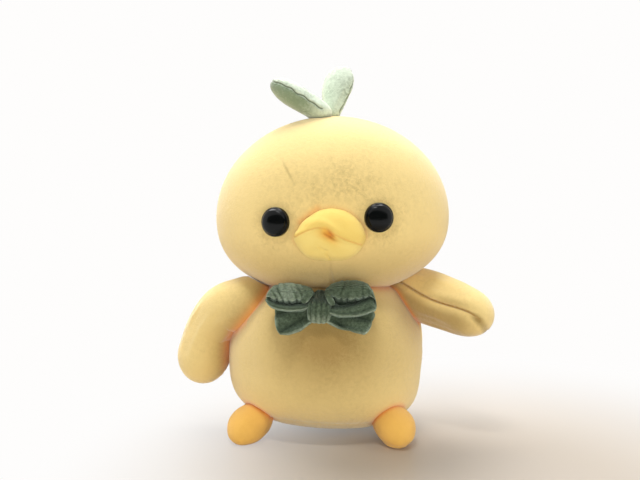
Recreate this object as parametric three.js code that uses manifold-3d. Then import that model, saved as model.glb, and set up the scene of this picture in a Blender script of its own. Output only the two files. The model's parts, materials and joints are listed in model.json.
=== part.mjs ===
// A plush chick that stands on two stubby feet and its own seat, with a bow tie and two leaves on its crown.
// Millimetres and degrees. The face looks along -Y, +Z is up, and left and right are the chick's own.
// Each stuffed form is sewn from cloth panels over a stuffing, and each limb turns in the seam that holds it.

import * as THREE from "three";
import { mergeVertices } from "three/addons/utils/BufferGeometryUtils.js";
import Module from "manifold-3d";

const wasm = await Module();
wasm.setup();

// Cloth, seams and clearances
const CLOTH = 1.8;
const SEAM_GAP = 0.6;
const REST_GAP = 0.3;
const TURN_GAP = 0.8;
const SHELF_FLAT = 0.5;

// How finely the round forms are divided, coarser inside than outside
const OUTER_SIDES = 24;
const OUTER_STEPS = 12;
const INNER_SIDES = 16;
const INNER_STEPS = 7;
const LIMB_SIDES = 12;
const LIMB_STEPS = 3;

// Body: a barrel that leans back on its seat and a little to its left
const BODY_WIDTH = 120;
const BODY_DEPTH = 100;
const BODY_HEIGHT = 93;
const BELLY_RISE = 40;
const CHEST_RISE = BODY_HEIGHT - BELLY_RISE;
const CHEST_POWER = 2.5;
const SEAT_POWER = 3.3;
const DOME_FROM = 0.1;
const DOME_TO = 0.62;
const BODY_LEAN_BACK = 7;
const BODY_LEAN_SIDE = 2;
const BASE_PANEL_RISE = 5;

// Head: a wide oval that the body's dome enters from below
const HEAD_WIDTH = 146;
const HEAD_DEPTH = 118;
const HEAD_HEIGHT = 110;
const HEAD_CHIN = 47.5;
const HEAD_CROWN = HEAD_HEIGHT - HEAD_CHIN;
const CROWN_POWER = 2;
const CHIN_POWER = 2.3;
const HEAD_SINK = 10.5;
const HEAD_ROLL = 4.5;

// Beak
const BEAK_WIDTH = 41.5;
const BEAK_HEIGHT = 29;
const BEAK_LENGTH = 20;
const BEAK_DROP = 9.5;
const BEAK_UPTURN = 18;
const BEAK_POWER = 1.9;
const BEAK_DART = 10;

// Safety eyes, measured from the beak that they flank
const EYE_DIAMETER = 18;
const EYE_DOME = 7;
const EYE_RIM = 0.8;
const EYE_BEDDING = 0.8;
const EYE_CLEAR = 0.25;
const EYE_DROP = 0.5;
const SHANK_DIAMETER = 4.4;
const SHANK_LENGTH = 11;
const SHANK_RIDGE = 0.4;
const RIDGE_PITCH = 1.3;
const RIDGES = 3;
const WASHER_DIAMETER = 13;
const WASHER_THICKNESS = 1.4;

// Wings, with their roots measured down from the top of the body
const WING_ROOT_DIAMETER = 29;
const WING_BREADTH = 32;
const WING_THICKNESS = 29;
const WING_LENGTH = 56;
const WING_ROOT_SINK = 0.5;
const LEFT_WING_DROP = 17.5;
const LEFT_WING_RAISE = 72;
const LEFT_WING_SWEEP = 43;
const RIGHT_WING_DROP = 26;
const RIGHT_WING_RAISE = 22;

// Feet
const FOOT_ROOT_DIAMETER = 23;
const FOOT_WIDTH = 27;
const FOOT_HEIGHT = 26;
const FOOT_LENGTH = 21;
const FOOT_ROOT_SINK = 4.5;
const FOOT_BEARING = 47;
const FOOT_TOE_OUT = 16;
const SOLE_RISE = 4;

// Leaves
const LEAF_ROOT_BREADTH = 17;
const LEAF_ROOT_DIAMETER = 8;
const LEAF_BREADTH = 23;
const LEAF_THICKNESS = 11.5;
const LEAF_LENGTH = 37;
const LEAF_ROOT_SINK = 0.8;
const LEAF_SPACING = 13;
const LEFT_LEAF_OFFSET = -1;
const LEFT_LEAF_LEAN = 15;
const LEFT_LEAF_PITCH = 28;
const LEFT_LEAF_TURN = 20;
const RIGHT_LEAF_OFFSET = -5;
const RIGHT_LEAF_LEAN = 57;
const RIGHT_LEAF_TURN = 48;

// Bow tie, with its knot measured down from the top of the body
const BOW_DROP = 14;
const BOW_OFFSET = -1.5;
const BOW_PITCH = 14;
const BOW_BEDDING = 1.2;
const CHIN_CLEAR = 2;
const LOOP_SPAN = 65;
const LOOP_HEIGHT = 19;
const LOOP_DEPTH = 15;
const LOOP_RISE = 3;
const LOOP_FOLD = 6;
const TAIL_SPAN = 60;
const TAIL_HEIGHT = 13.5;
const TAIL_DEPTH = 8;
const TAIL_FALL = 4.5;
const WAIST_HEIGHT = 6.5;
const WAIST_DEPTH = 7;
const SPREAD_TO = 0.62;
const END_FROM = 0.75;
const END_TUCK = 0.55;
const FOLD_WIDTH = 0.45;
const KNOT_WIDTH = 15.5;
const KNOT_HEIGHT = 19;
const KNOT_DEPTH = 17;
const KNOT_TUCK = 0.82;

const { degToRad, lerp, smoothstep } = THREE.MathUtils;
const halfSeam = SEAM_GAP / 2;

// Closed solids for cutting and joining, and back again to meshes

function solidOf(geometry) {
  geometry.deleteAttribute("normal");
  geometry.deleteAttribute("uv");
  const welded = mergeVertices(geometry, 1e-4);
  const vertProperties = new Float32Array(welded.attributes.position.array);
  const triVerts = new Uint32Array(welded.index.array);
  return new wasm.Manifold(new wasm.Mesh({ numProp: 3, vertProperties, triVerts }));
}

function geometryOf(solid) {
  const cut = solid.getMesh();
  const geometry = new THREE.BufferGeometry();
  geometry.setAttribute("position", new THREE.BufferAttribute(new Float32Array(cut.vertProperties), 3));
  geometry.setIndex(new THREE.BufferAttribute(new Uint32Array(cut.triVerts), 1));
  return geometry;
}

// The same solid seen from another group
function carried(solid, from, to) {
  const move = to.matrixWorld.clone().invert().multiply(from.matrixWorld);
  return solidOf(geometryOf(solid).applyMatrix4(move));
}

function joined(solids) {
  return solids.reduce((all, solid) => all.add(solid));
}

// Skin over stacked outlines of equal count, closed at both ends
function loft(outlines) {
  const sides = outlines[0].length;
  const points = outlines.flat();
  const index = [];
  for (let i = 0; i + 1 < outlines.length; i += 1) {
    for (let j = 0; j < sides; j += 1) {
      const a = i * sides + j;
      const b = i * sides + ((j + 1) % sides);
      index.push(a, b, b + sides, a, b + sides, a + sides);
    }
  }
  for (const end of [0, outlines.length - 1]) {
    const middle = new THREE.Vector3();
    outlines[end].forEach((point) => middle.addScaledVector(point, 1 / sides));
    points.push(middle);
    for (let j = 0; j < sides; j += 1) {
      const a = end * sides + j;
      const b = end * sides + ((j + 1) % sides);
      index.push(points.length - 1, ...(end === 0 ? [b, a] : [a, b]));
    }
  }
  return new THREE.BufferGeometry().setFromPoints(points).setIndex(index);
}

function ovalRing(halfX, halfY, z, sides) {
  const ring = [];
  for (let j = 0; j < sides; j += 1) {
    const turn = (2 * Math.PI * j) / sides;
    ring.push(new THREE.Vector3(halfX * Math.sin(turn), -halfY * Math.cos(turn), z));
  }
  return ring;
}

// How far a rounded form has closed in, from 1 at its widest to 0 at its end
function closing(run, power) {
  return Math.max(0, 1 - run ** power) ** (1 / power);
}

// A stuffed form swells from its underside to its widest line and closes over the top
class StuffedForm {
  constructor(size) {
    Object.assign(this, size);
  }

  girth(z) {
    return z > 0 ? closing(z / this.up, this.upPower) : closing(-z / this.down, this.downPower);
  }

  halfDepth(z) {
    const round = this.roundTop ? smoothstep(z / this.up, DOME_FROM, DOME_TO) : 0;
    return lerp(this.depth / 2, this.width / 2, round);
  }

  pointAt(bearing, z) {
    const girth = this.girth(z);
    const x = (this.width / 2) * girth * Math.sin(bearing);
    return new THREE.Vector3(x, -this.halfDepth(z) * girth * Math.cos(bearing), z);
  }

  normalAt(bearing, z) {
    const step = 0.01;
    const along = this.pointAt(bearing + step, z).sub(this.pointAt(bearing - step, z));
    const rise = this.pointAt(bearing, z + step).sub(this.pointAt(bearing, z - step));
    return along.cross(rise).normalize();
  }

  bearingAt(x, z) {
    return Math.asin(x / ((this.width / 2) * this.girth(z)));
  }

  solid(inset) {
    const sides = inset > 0 ? INNER_SIDES : OUTER_SIDES;
    const steps = inset > 0 ? INNER_STEPS : OUTER_STEPS;
    const rings = [];
    for (let i = 0; i <= steps; i += 1) {
      const climb = Math.PI * (i / steps - 0.5);
      const reach = climb > 0 ? this.up - inset : this.down - inset;
      const power = climb > 0 ? this.upPower : this.downPower;
      const z = reach * Math.sign(climb) * Math.abs(Math.sin(climb)) ** (2 / power);
      const girth = i % steps === 0 ? 0 : Math.cos(climb) ** (2 / power);
      rings.push(ovalRing((this.width / 2 - inset) * girth, (this.halfDepth(z) - inset) * girth, z, sides));
    }
    return solidOf(loft(rings));
  }

  // The point that touches a shelf when the form stands in a turned group
  lowestPoint(group) {
    const down = new THREE.Vector3(0, 0, -1).transformDirection(group.matrixWorld.clone().invert());
    const dual = this.downPower / (this.downPower - 1);
    const across = new THREE.Vector2((this.width / 2) * down.x, (this.depth / 2) * down.y);
    const drop = this.down * Math.abs(down.z);
    const support = (across.length() ** dual + drop ** dual) ** (1 / dual);
    const girth = (across.length() / support) ** (dual - 1);
    across.normalize().multiplyScalar(girth);
    const z = -this.down * (drop / support) ** (dual - 1);
    return new THREE.Vector3((this.width / 2) * across.x, (this.depth / 2) * across.y, z);
  }
}

// A stuffed limb has a root at the origin, round about X, and a sausage along -Z that swells and ends blunt
function limbGeometry(limb, inset) {
  const sides = inset > 0 ? LIMB_SIDES - 4 : LIMB_SIDES;
  const steps = inset > 0 ? LIMB_STEPS - 1 : LIMB_STEPS;
  const rootX = limb.rootBreadth / 2 - inset;
  const rootY = limb.rootDiameter / 2 - inset;
  const rings = [];
  for (let i = 0; i <= steps; i += 1) {
    const climb = (Math.PI / 2) * (i / steps);
    rings.push(ovalRing(rootX * Math.sin(climb), rootY * Math.sin(climb), rootY * Math.cos(climb), sides));
  }
  for (let i = 1; i <= 2 * steps; i += 1) {
    const run = Math.sin((Math.PI / 2) * (i / (2 * steps)));
    const swell = smoothstep(run, limb.swellFrom, limb.swellTo);
    const end = Math.max(0, (run - limb.bluntFrom) / (1 - limb.bluntFrom));
    const cap = closing(end, limb.bluntPower);
    const halfX = lerp(rootX, limb.breadth / 2 - inset, swell) * cap;
    const halfY = lerp(rootY, limb.thickness / 2 - inset, swell) * cap;
    rings.push(ovalRing(halfX, halfY, -run * (limb.length - inset), sides));
  }
  return loft(rings.reverse());
}

function limbSolid(limb, inset) {
  return solidOf(limbGeometry(limb, inset));
}

// Half spaces that part the panels along their seams
const FAR = 400;

function halfSpace(axis, at, sign) {
  const box = new THREE.BoxGeometry(2 * FAR, 2 * FAR, 2 * FAR);
  return solidOf(box.translate(...["x", "y", "z"].map((name) => (name === axis ? at + sign * FAR : 0))));
}

const above = (z) => halfSpace("z", z, 1);
const below = (z) => halfSpace("z", z, -1);
const before = (y) => halfSpace("y", y, -1);
const behind = (y) => halfSpace("y", y, 1);
const onLeft = (x) => halfSpace("x", x, 1);
const onRight = (x) => halfSpace("x", x, -1);

function slit(width, length, height, centre) {
  return solidOf(new THREE.BoxGeometry(width, length, height).translate(...centre));
}

// A dish that lets a limb's root turn in it
function rootDish(limb, sides) {
  const halfX = limb.rootBreadth / 2 + TURN_GAP;
  const halfY = limb.rootDiameter / 2 + TURN_GAP;
  const dish = new THREE.SphereGeometry(1, sides, sides - 4).rotateX(Math.PI / 2);
  return solidOf(dish.scale(halfX, halfY, halfY));
}

// Cloths and plastics

const plush = new THREE.MeshStandardMaterial({ color: 0xf2d98a, roughness: 0.95 });
const beakPlush = new THREE.MeshStandardMaterial({ color: 0xf6dc5c, roughness: 0.95 });
const footPlush = new THREE.MeshStandardMaterial({ color: 0xe8aa45, roughness: 0.95 });
const leafPlush = new THREE.MeshStandardMaterial({ color: 0xb7c89a, roughness: 0.95 });
const ribbedVelvet = new THREE.MeshStandardMaterial({ color: 0x4d5c46, roughness: 0.9 });
const fibre = new THREE.MeshStandardMaterial({ color: 0xf7f5ee, roughness: 1 });
const blackPlastic = new THREE.MeshStandardMaterial({ color: 0x0c0c0d, roughness: 0.12 });
const whitePlastic = new THREE.MeshStandardMaterial({ color: 0xe6e6e2, roughness: 0.5 });

function addPiece(group, name, geometry, material) {
  const mesh = new THREE.Mesh(geometry, material);
  mesh.name = name;
  group.add(mesh);
}

function addCutPiece(group, name, solid, material) {
  addPiece(group, name, geometryOf(solid), material);
}

// Where the body and the head stand: the body's lowest point is pressed flat, and that flat is the origin

const bodyForm = new StuffedForm({
  width: BODY_WIDTH,
  depth: BODY_DEPTH,
  up: CHEST_RISE,
  down: BELLY_RISE,
  upPower: CHEST_POWER,
  downPower: SEAT_POWER,
  roundTop: true,
});
const headForm = new StuffedForm({
  width: HEAD_WIDTH,
  depth: HEAD_DEPTH,
  up: HEAD_CROWN,
  down: HEAD_CHIN,
  upPower: CROWN_POWER,
  downPower: CHIN_POWER,
});

const toy = new THREE.Group();
const torso = new THREE.Group();
torso.rotation.set(degToRad(-BODY_LEAN_BACK), degToRad(BODY_LEAN_SIDE), 0);
torso.updateMatrixWorld();
const seat = bodyForm.lowestPoint(torso).applyMatrix4(torso.matrixWorld);
torso.position.set(-seat.x, -seat.y, -seat.z - SHELF_FLAT);
toy.add(torso);

const head = new THREE.Group();
head.position.z = CHEST_RISE - HEAD_SINK + HEAD_CHIN;
head.rotation.y = degToRad(-HEAD_ROLL);
torso.add(head);
toy.updateMatrixWorld(true);

// A limb's group turns at the limb's root, and the group inside it gives the limb its twist
function addLimbGroup(parent, root, pose, twist) {
  const hinge = new THREE.Group();
  hinge.position.copy(root);
  hinge.rotation.copy(pose);
  const form = new THREE.Group();
  form.rotation.z = degToRad(twist);
  hinge.add(form);
  parent.add(hinge);
  return form;
}

const wingLimb = {
  rootBreadth: WING_ROOT_DIAMETER,
  rootDiameter: WING_ROOT_DIAMETER,
  breadth: WING_BREADTH,
  thickness: WING_THICKNESS,
  length: WING_LENGTH,
  swellFrom: 0.2,
  swellTo: 0.62,
  bluntFrom: 0.5,
  bluntPower: 2.2,
};

function wingRoot(side, drop) {
  const z = CHEST_RISE - drop;
  const bearing = (side * Math.PI) / 2;
  const standoff = WING_ROOT_DIAMETER / 2 - WING_ROOT_SINK;
  return bodyForm.pointAt(bearing, z).addScaledVector(bodyForm.normalAt(bearing, z), standoff);
}

const leftWingPose = new THREE.Euler(0, degToRad(-LEFT_WING_RAISE), degToRad(-LEFT_WING_SWEEP), "ZYX");
const rightWingPose = new THREE.Euler(0, degToRad(RIGHT_WING_RAISE), 0);
const leftWing = addLimbGroup(torso, wingRoot(1, LEFT_WING_DROP), leftWingPose, 90);
const rightWing = addLimbGroup(torso, wingRoot(-1, RIGHT_WING_DROP), rightWingPose, 0);

const footLimb = {
  rootBreadth: FOOT_ROOT_DIAMETER,
  rootDiameter: FOOT_ROOT_DIAMETER,
  breadth: FOOT_WIDTH,
  thickness: FOOT_HEIGHT,
  length: FOOT_LENGTH,
  swellFrom: 0,
  swellTo: 0.5,
  bluntFrom: 0.25,
  bluntPower: 2.1,
};

const footBox = new THREE.Box3().setFromBufferAttribute(limbGeometry(footLimb, 0).attributes.position);

function footRoot(side) {
  const rise = footBox.max.y - SHELF_FLAT;
  const z = rise - BELLY_RISE;
  const bearing = side * degToRad(FOOT_BEARING);
  const standoff = FOOT_ROOT_DIAMETER / 2 - FOOT_ROOT_SINK;
  const root = bodyForm.pointAt(bearing, z).addScaledVector(bodyForm.normalAt(bearing, z), standoff);
  return root.applyMatrix4(torso.matrixWorld).setZ(rise);
}

const leftFootPose = new THREE.Euler(-Math.PI / 2, 0, degToRad(FOOT_TOE_OUT), "ZYX");
const rightFootPose = new THREE.Euler(-Math.PI / 2, 0, degToRad(-FOOT_TOE_OUT), "ZYX");
const leftFoot = addLimbGroup(toy, footRoot(1), leftFootPose, 0);
const rightFoot = addLimbGroup(toy, footRoot(-1), rightFootPose, 0);

const leafLimb = {
  rootBreadth: LEAF_ROOT_BREADTH,
  rootDiameter: LEAF_ROOT_DIAMETER,
  breadth: LEAF_BREADTH,
  thickness: LEAF_THICKNESS,
  length: LEAF_LENGTH,
  swellFrom: 0,
  swellTo: 0.5,
  bluntFrom: 0.45,
  bluntPower: 2.1,
};

function leafRoot(x, y) {
  const fall = closing(Math.hypot((2 * x) / HEAD_WIDTH, (2 * y) / HEAD_DEPTH), CROWN_POWER);
  return new THREE.Vector3(x, y, HEAD_CROWN * fall + LEAF_ROOT_DIAMETER / 2 - LEAF_ROOT_SINK);
}

const leftLeafRoot = leafRoot(LEFT_LEAF_OFFSET, LEAF_SPACING / 2);
const rightLeafRoot = leafRoot(RIGHT_LEAF_OFFSET, -LEAF_SPACING / 2);
const leftLeafPose = new THREE.Euler(degToRad(-LEFT_LEAF_PITCH), degToRad(180 + LEFT_LEAF_LEAN), 0);
const rightLeafPose = new THREE.Euler(0, degToRad(180 - RIGHT_LEAF_LEAN), 0);
const leftLeaf = addLimbGroup(head, leftLeafRoot, leftLeafPose, LEFT_LEAF_TURN);
const rightLeaf = addLimbGroup(head, rightLeafRoot, rightLeafPose, RIGHT_LEAF_TURN);

const beak = new THREE.Group();
beak.position.copy(headForm.pointAt(0, -BEAK_DROP));
beak.rotation.x = degToRad(-BEAK_UPTURN);
head.add(beak);

function addEyeGroup(side) {
  const x = side * (BEAK_WIDTH / 2 + EYE_CLEAR + EYE_DIAMETER / 2);
  const bearing = headForm.bearingAt(x, -EYE_DROP);
  const eye = new THREE.Group();
  eye.position.copy(headForm.pointAt(bearing, -EYE_DROP));
  eye.quaternion.setFromUnitVectors(new THREE.Vector3(0, 0, 1), headForm.normalAt(bearing, -EYE_DROP));
  head.add(eye);
  return eye;
}

const leftEye = addEyeGroup(1);
const rightEye = addEyeGroup(-1);

const bow = new THREE.Group();
bow.position.copy(bodyForm.pointAt(0, CHEST_RISE - BOW_DROP));
bow.position.x += BOW_OFFSET;
bow.position.y -= KNOT_DEPTH / 2 - BOW_BEDDING;
bow.rotation.x = degToRad(-BOW_PITCH);
torso.add(bow);
toy.updateMatrixWorld(true);

// Body: a front panel, two back panels and a base panel round one stuffing, dented where a limb lies on it

const wingDents = joined(
  [leftWing, rightWing].flatMap((wing) => [
    carried(rootDish(wingLimb, 14), wing, torso),
    carried(limbSolid(wingLimb, -REST_GAP), wing, torso),
  ]),
);
const footDents = joined(
  [leftFoot, rightFoot].map((foot) => carried(rootDish(footLimb, 14), foot, torso)),
);
const bodySkin = bodyForm
  .solid(0)
  .subtract(bodyForm.solid(CLOTH))
  .intersect(carried(above(0), toy, torso))
  .subtract(wingDents)
  .subtract(footDents);
const bodyStuffing = bodyForm
  .solid(CLOTH + REST_GAP)
  .intersect(carried(above(CLOTH + REST_GAP), toy, torso))
  .subtract(wingDents)
  .subtract(footDents);
const baseSeam = BASE_PANEL_RISE - BELLY_RISE;
const bodyWall = bodySkin.intersect(above(baseSeam + halfSeam));
const bodyBack = bodyWall.intersect(behind(halfSeam));
addCutPiece(torso, "body_front_panel", bodyWall.intersect(before(-halfSeam)), plush);
addCutPiece(torso, "body_back_left_panel", bodyBack.intersect(onLeft(halfSeam)), plush);
addCutPiece(torso, "body_back_right_panel", bodyBack.intersect(onRight(-halfSeam)), plush);
addCutPiece(torso, "base_panel", bodySkin.intersect(below(baseSeam - halfSeam)), plush);
addCutPiece(torso, "body_stuffing", bodyStuffing, fibre);

// Head: a face panel with a chin dart and two back panels, open below where it sits on the body's dome

const neckDome = carried(bodyForm.solid(-TURN_GAP), torso, head);
const leafDents = joined(
  [leftLeaf, rightLeaf].flatMap((leaf) => [
    carried(rootDish(leafLimb, 10), leaf, head),
    carried(limbSolid(leafLimb, -REST_GAP), leaf, head),
  ]),
);

function disc(diameter, bottom, top, sides) {
  const geometry = new THREE.CylinderGeometry(diameter / 2, diameter / 2, top - bottom, sides);
  return solidOf(geometry.rotateX(Math.PI / 2).translate(0, 0, (top + bottom) / 2));
}

// The bed of an eye: a seat in the cloth, a hole for the shank and room for the washer behind the cloth
function eyeBed(eye) {
  const rim = disc(EYE_DIAMETER + 2 * REST_GAP, -EYE_BEDDING - REST_GAP, EYE_DOME, 14);
  const hole = disc(SHANK_DIAMETER + 2 * REST_GAP, -SHANK_LENGTH - REST_GAP, 0, 8);
  const washerTop = -CLOTH - REST_GAP;
  const washerBottom = washerTop - WASHER_THICKNESS - 2 * REST_GAP;
  const room = disc(WASHER_DIAMETER + 4 * REST_GAP, washerBottom, washerTop, 10);
  return carried(joined([rim, hole, room]), eye, head);
}

const headHollows = joined([
  neckDome,
  leafDents,
  carried(wingDents, torso, head),
  eyeBed(leftEye),
  eyeBed(rightEye),
]);
const headSkin = headForm.solid(0).subtract(headForm.solid(CLOTH)).subtract(headHollows);
const headBack = headSkin.intersect(behind(halfSeam));
const dartTop = BEAK_DROP + BEAK_HEIGHT / 3;
const chinDart = slit(SEAM_GAP, HEAD_DEPTH, HEAD_CHIN, [0, -HEAD_DEPTH / 2, -dartTop - HEAD_CHIN / 2]);
addCutPiece(head, "head_face_panel", headSkin.intersect(before(-halfSeam)).subtract(chinDart), plush);
addCutPiece(head, "head_back_left_panel", headBack.intersect(onLeft(halfSeam)), plush);
addCutPiece(head, "head_back_right_panel", headBack.intersect(onRight(-halfSeam)), plush);
addCutPiece(head, "head_stuffing", headForm.solid(CLOTH + REST_GAP).subtract(headHollows), fibre);

// Beak: an upper and a lower panel that meet in the mouth seam, cut to the curve of the face

function beakSolid(inset) {
  const sides = inset > 0 ? 12 : 16;
  const steps = inset > 0 ? 4 : 6;
  const halfX = BEAK_WIDTH / 2 - inset;
  const halfZ = BEAK_HEIGHT / 2 - inset;
  const rings = [ovalRing(halfX, halfZ, -BEAK_LENGTH, sides)];
  for (let i = 0; i <= steps; i += 1) {
    const run = Math.sin((Math.PI / 2) * (i / steps));
    const cap = closing(run, BEAK_POWER);
    rings.push(ovalRing(halfX * cap, halfZ * cap, run * (BEAK_LENGTH - inset), sides));
  }
  return solidOf(loft(rings).rotateX(Math.PI / 2));
}

const face = carried(headForm.solid(-REST_GAP), head, beak);
const beakSkin = beakSolid(0).subtract(beakSolid(CLOTH)).subtract(face);
const beakDart = slit(SEAM_GAP, 3 * BEAK_LENGTH, BEAK_DART, [0, 0, -BEAK_HEIGHT / 2]);
addCutPiece(beak, "beak_upper_panel", beakSkin.intersect(above(halfSeam)), beakPlush);
addCutPiece(beak, "beak_lower_panel", beakSkin.intersect(below(-halfSeam)).subtract(beakDart), beakPlush);
addCutPiece(beak, "beak_stuffing", beakSolid(CLOTH + REST_GAP).subtract(face), fibre);

// Eyes: a dome whose ridged shank passes through the cloth into a lock washer

function eyeGeometry() {
  const rim = EYE_DIAMETER / 2;
  const shank = SHANK_DIAMETER / 2;
  const outline = [new THREE.Vector2(0, -SHANK_LENGTH)];
  outline.push(new THREE.Vector2(shank - SHANK_RIDGE, -SHANK_LENGTH));
  for (let i = RIDGES; i > 0; i -= 1) {
    const z = -SHANK_LENGTH + (RIDGES - i + 1) * RIDGE_PITCH;
    outline.push(new THREE.Vector2(shank, z), new THREE.Vector2(shank - SHANK_RIDGE, z));
  }
  outline.push(new THREE.Vector2(shank - SHANK_RIDGE, -EYE_BEDDING), new THREE.Vector2(rim, -EYE_BEDDING));
  const steps = 5;
  for (let i = 0; i <= steps; i += 1) {
    const climb = (Math.PI / 2) * (i / steps);
    const radius = i === steps ? 0 : rim * Math.cos(climb);
    outline.push(new THREE.Vector2(radius, EYE_RIM - EYE_BEDDING + (EYE_DOME - EYE_RIM) * Math.sin(climb)));
  }
  return new THREE.LatheGeometry(outline, 18).rotateX(Math.PI / 2);
}

function washerGeometry() {
  const ring = new THREE.Shape().absarc(0, 0, WASHER_DIAMETER / 2, 0, 2 * Math.PI);
  ring.holes.push(new THREE.Path().absarc(0, 0, SHANK_DIAMETER / 2 + REST_GAP / 2, 0, 2 * Math.PI, true));
  const washer = new THREE.ExtrudeGeometry(ring, {
    depth: WASHER_THICKNESS,
    bevelEnabled: false,
    curveSegments: 9,
  });
  return washer.translate(0, 0, -CLOTH - 2 * REST_GAP - WASHER_THICKNESS);
}

for (const [eye, name] of [[leftEye, "left_eye"], [rightEye, "right_eye"]]) {
  addPiece(eye, name, eyeGeometry(), blackPlastic);
  addPiece(eye, `${name}_washer`, washerGeometry(), whitePlastic);
}

// Wings and leaves: two panels sewn edge to edge round a stuffing, with a round root in a dish

function addSewnLimb(group, name, limb, faces, material) {
  const skin = limbSolid(limb, 0).subtract(limbSolid(limb, CLOTH));
  addCutPiece(group, `${name}_${faces[0]}_panel`, skin.intersect(before(-halfSeam)), material);
  addCutPiece(group, `${name}_${faces[1]}_panel`, skin.intersect(behind(halfSeam)), material);
  addCutPiece(group, `${name}_stuffing`, limbSolid(limb, CLOTH + REST_GAP), fibre);
}

addSewnLimb(leftWing, "left_wing", wingLimb, ["upper", "under"], plush);
addSewnLimb(rightWing, "right_wing", wingLimb, ["front", "back"], plush);
addSewnLimb(leftLeaf, "left_leaf", leafLimb, ["front", "back"], leafPlush);
addSewnLimb(rightLeaf, "right_leaf", leafLimb, ["front", "back"], leafPlush);

// Feet: an upper and a sole round a stuffing, pressed flat where they stand

function addFoot(group, name) {
  const shelf = (z) => carried(above(z), toy, group);
  const skin = limbSolid(footLimb, 0).subtract(limbSolid(footLimb, CLOTH)).intersect(shelf(0));
  const sole = carried(below(SOLE_RISE - halfSeam), toy, group);
  const stuffing = limbSolid(footLimb, CLOTH + REST_GAP).intersect(shelf(CLOTH + REST_GAP));
  addCutPiece(group, `${name}_upper`, skin.intersect(shelf(SOLE_RISE + halfSeam)), footPlush);
  addCutPiece(group, `${name}_sole`, skin.intersect(sole), footPlush);
  addCutPiece(group, `${name}_stuffing`, stuffing, fibre);
}

addFoot(leftFoot, "left_foot");
addFoot(rightFoot, "right_foot");

// Bow tie: a loop strip with a fold along its front and a tail strip below it, both pinched by a knot band

function bowStrip(strip, inset) {
  const steps = 5;
  const sides = 12;
  const waistEnd = KNOT_WIDTH / strip.span;
  const sections = [];
  for (let i = -steps; i <= steps + 1; i += 1) {
    const side = i > 0 ? 1 : -1;
    const out = lerp(waistEnd, 1, (i > 0 ? i - 1 : -i) / steps);
    const run = side * out;
    const spread = smoothstep(out, waistEnd, SPREAD_TO);
    const last = Math.max(0, (out - END_FROM) / (1 - END_FROM));
    const end = lerp(END_TUCK, 1, closing(last, 2));
    const halfDepth = (lerp(WAIST_DEPTH, strip.depth, spread) / 2) * end - inset;
    const halfHeight = (lerp(WAIST_HEIGHT, strip.height, spread) / 2) * end - inset;
    const rise = strip.waistRise + strip.rise * spread;
    const section = [];
    for (let j = 0; j < sides; j += 1) {
      const turn = (2 * Math.PI * j) / sides;
      const front = Math.exp(-(((turn - Math.PI) / FOLD_WIDTH) ** 2));
      const y = -halfDepth * Math.sin(turn - Math.PI / 2) + strip.fold * spread * front;
      const z = halfHeight * Math.cos(turn - Math.PI / 2) + rise;
      section.push(new THREE.Vector3(run * (strip.span / 2 - inset), y, z));
    }
    sections.push(section);
  }
  return solidOf(loft(sections));
}

const loopStrip = {
  span: LOOP_SPAN,
  height: LOOP_HEIGHT,
  depth: LOOP_DEPTH,
  waistRise: WAIST_HEIGHT / 2,
  rise: LOOP_RISE,
  fold: LOOP_FOLD,
};
const tailStrip = {
  span: TAIL_SPAN,
  height: TAIL_HEIGHT,
  depth: TAIL_DEPTH,
  waistRise: -WAIST_HEIGHT / 2,
  rise: -TAIL_FALL,
  fold: 0,
};

// The knot band bulges round a straight channel for the two waists
function knotSolid() {
  const steps = 4;
  const sides = 12;
  const rings = [];
  for (let i = 0; i <= steps; i += 1) {
    const run = (2 * i) / steps - 1;
    const cap = lerp(KNOT_TUCK, 1, closing(Math.abs(run), 2));
    rings.push(ovalRing((KNOT_HEIGHT / 2) * cap, (KNOT_DEPTH / 2) * cap, (run * KNOT_WIDTH) / 2, sides));
  }
  const halfX = WAIST_HEIGHT + 2 * REST_GAP;
  const halfY = WAIST_DEPTH / 2 + 4 * REST_GAP;
  const channel = [-KNOT_WIDTH, KNOT_WIDTH].map((z) => ovalRing(halfX, halfY, z, sides));
  const band = solidOf(loft(rings).rotateY(Math.PI / 2));
  return band.subtract(solidOf(loft(channel).rotateY(Math.PI / 2)));
}

const chest = carried(bodyForm.solid(-REST_GAP), torso, bow);
const chin = carried(headForm.solid(-CHIN_CLEAR), head, bow);
const bowRoom = joined([chest, chin]);
const loopRoom = bowStrip(loopStrip, -REST_GAP);
const loops = bowStrip(loopStrip, 0).subtract(bowRoom);
const tails = bowStrip(tailStrip, 0).subtract(loopRoom).subtract(bowRoom);
addCutPiece(bow, "bow_loops", loops, ribbedVelvet);
addCutPiece(bow, "bow_tails", tails, ribbedVelvet);
addCutPiece(bow, "bow_knot", knotSolid().subtract(bowRoom), ribbedVelvet);

export default toy;
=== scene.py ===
import json
from math import cos, pi, radians, sin

import bpy
import numpy as np
from mathutils import Matrix, Vector
from mathutils.bvhtree import BVHTree


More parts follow.
